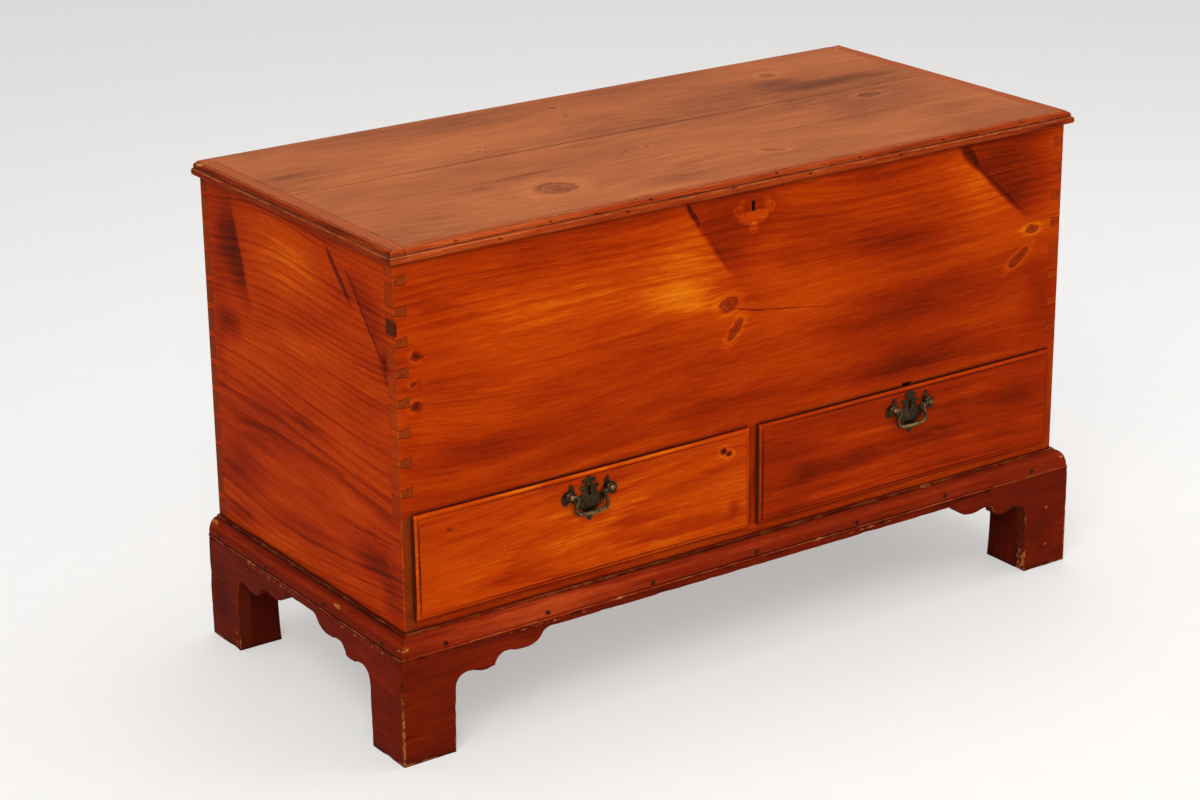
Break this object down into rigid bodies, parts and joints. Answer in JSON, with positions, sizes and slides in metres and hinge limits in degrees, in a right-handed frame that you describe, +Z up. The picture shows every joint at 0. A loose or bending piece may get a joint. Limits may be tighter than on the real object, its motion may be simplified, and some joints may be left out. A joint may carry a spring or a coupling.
{
  "type": "blanket chest",
  "caption": "Low pine blanket chest with a lifting lid over a deep well, lipped drawers side by side below with bail pulls, and a moulded base on scroll-cut bracket feet.",
  "frame": {"origin": "on the floor, at the bottom centre of the bounding box", "axes": "+X to the right along the front as seen from the front, +Y to the back, +Z up"},
  "size_m": [1.22, 0.56, 0.73],
  "materials": {
    "case_pine": "satin old orange-red stain and shellac",
    "lid_pine": "worn satin stain and shellac, faded on top",
    "base_pine": "satin dark red stain and shellac",
    "drawer_pine": "satin old orange-red stain and shellac",
    "plain_pine": "bare planed pine, aged",
    "aged_brass": "dark tarnished brass, rubbed bright on the bail",
    "iron": "dull dark wrought iron"
  },
  "bodies": {
    "case": {"side_left_upper": "case_pine", "side_left_lower": "case_pine", "side_right_upper": "case_pine", "side_right_lower": "case_pine", "front_board": "case_pine", "front_rail": "case_pine", "drawer_stile": "case_pine", "case_bottom": "plain_pine", "well_floor": "plain_pine", "drawer_guide": "plain_pine", "back_board_upper": "case_pine", "back_board_lower": "case_pine", "hinge_left_case_leaf": "iron", "hinge_left_pin": "iron", "hinge_right_case_leaf": "iron", "hinge_right_pin": "iron", "base_moulding_front": "base_pine", "base_moulding_left": "base_pine", "base_moulding_right": "base_pine", "bracket_front": "base_pine", "bracket_left": "base_pine", "bracket_right": "base_pine", "inner_bracket_front_left": "base_pine", "inner_bracket_front_right": "base_pine", "inner_bracket_rear_left": "base_pine", "inner_bracket_rear_right": "base_pine", "foot_block_rear_left": "plain_pine", "foot_block_rear_right": "plain_pine", "chest_lock_case": "iron"},
    "lid": {"lid_board_front": "lid_pine", "lid_board_rear": "lid_pine", "lid_moulding_front": "lid_pine", "lid_moulding_left": "lid_pine", "lid_moulding_right": "lid_pine", "lid_staple": "iron", "hinge_left_lid_leaf": "iron", "hinge_right_lid_leaf": "iron"},
    "chest_bolt": {"chest_lock_bolt": "iron"},
    "left_drawer": {"left_drawer_front": "drawer_pine", "left_drawer_side_left": "plain_pine", "left_drawer_side_right": "plain_pine", "left_drawer_back": "plain_pine", "left_drawer_bottom": "plain_pine", "left_drawer_lock_case": "iron", "left_drawer_pull_plate": "aged_brass", "left_drawer_pull_post_left": "aged_brass", "left_drawer_pull_post_right": "aged_brass"},
    "left_drawer_bolt": {"left_drawer_lock_bolt": "iron"},
    "left_bail": {"left_drawer_pull_bail": "aged_brass"},
    "right_drawer": {"right_drawer_front": "drawer_pine", "right_drawer_side_left": "plain_pine", "right_drawer_side_right": "plain_pine", "right_drawer_back": "plain_pine", "right_drawer_bottom": "plain_pine", "right_drawer_lock_case": "iron", "right_drawer_pull_plate": "aged_brass", "right_drawer_pull_post_left": "aged_brass", "right_drawer_pull_post_right": "aged_brass"},
    "right_drawer_bolt": {"right_drawer_lock_bolt": "iron"},
    "right_bail": {"right_drawer_pull_bail": "aged_brass"}
  },
  "joints": [
    {"name": "lid_hinge", "type": "hinge", "parent": "case", "child": "lid", "pos_m": [0, 0.276, 0.711], "axis": [-1, 0, 0], "range_deg": [0, 98]},
    {"name": "chest_bolt_slide", "type": "slide", "parent": "case", "child": "chest_bolt", "axis": [1, 0, 0], "range_m": [0, 0.008]},
    {"name": "left_drawer_slide", "type": "slide", "parent": "case", "child": "left_drawer", "axis": [0, -1, 0], "range_m": [0, 0.38]},
    {"name": "left_drawer_bolt_slide", "type": "slide", "parent": "left_drawer", "child": "left_drawer_bolt", "axis": [0, 0, 1], "range_m": [0, 0.007]},
    {"name": "left_bail_hinge", "type": "hinge", "parent": "left_drawer", "child": "left_bail", "pos_m": [-0.291, -0.2745, 0.3265], "axis": [-1, 0, 0], "range_deg": [0, 120]},
    {"name": "right_drawer_slide", "type": "slide", "parent": "case", "child": "right_drawer", "axis": [0, -1, 0], "range_m": [0, 0.38]},
    {"name": "right_drawer_bolt_slide", "type": "slide", "parent": "right_drawer", "child": "right_drawer_bolt", "axis": [0, 0, 1], "range_m": [0, 0.007]},
    {"name": "right_bail_hinge", "type": "hinge", "parent": "right_drawer", "child": "right_bail", "pos_m": [0.291, -0.2745, 0.3265], "axis": [-1, 0, 0], "range_deg": [0, 120]}
  ]
}
